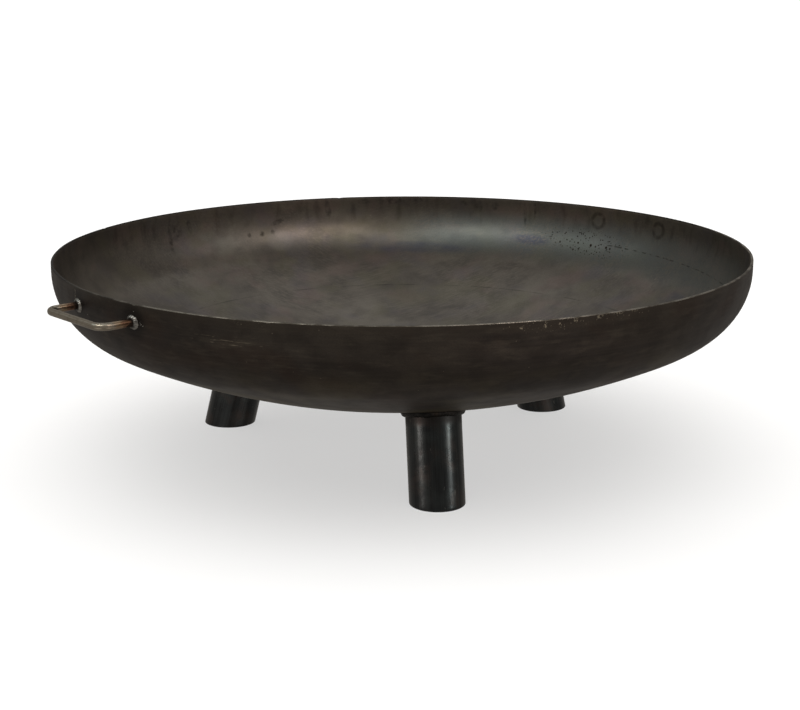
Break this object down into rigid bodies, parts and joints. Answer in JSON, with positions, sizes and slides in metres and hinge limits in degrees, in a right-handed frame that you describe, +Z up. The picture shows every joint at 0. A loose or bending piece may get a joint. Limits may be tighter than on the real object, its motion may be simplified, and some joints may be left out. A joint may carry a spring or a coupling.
{
  "type": "coal forge",
  "caption": "Wide shallow round pan of black pressed steel for a coal or charcoal fire, on short splayed tube legs, with a bent round-bar carrying handle on each side of the wall.",
  "frame": {"origin": "on the floor, under the pan's axis, midway between the two handles", "axes": "+X along the line of the two handles, +Y across it, +Z up through the middle of the pan"},
  "size_m": [0.874, 0.8, 0.233],
  "materials": {
    "black_sheet": "hot-rolled steel sheet with its dark mill scale, matte with burnished patches",
    "black_tube": "drawn steel tube with smooth blue-black scale, satin",
    "bright_bar": "bright drawn round bar, heat-tinted near the welds",
    "weld_bead": "wire-brushed weld metal, rippled",
    "sooty_weld": "dark fillet weld left as welded"
  },
  "bodies": {
    "root": {"bowl": "black_sheet", "leg_right": "black_tube", "leg_weld_right": "sooty_weld", "leg_back_left": "black_tube", "leg_weld_back_left": "sooty_weld", "leg_front_left": "black_tube", "leg_weld_front_left": "sooty_weld", "handle_left": "bright_bar", "handle_weld_left_front": "weld_bead", "handle_weld_left_back": "weld_bead", "handle_right": "bright_bar", "handle_weld_right_front": "weld_bead", "handle_weld_right_back": "weld_bead"}
  },
  "joints": []
}
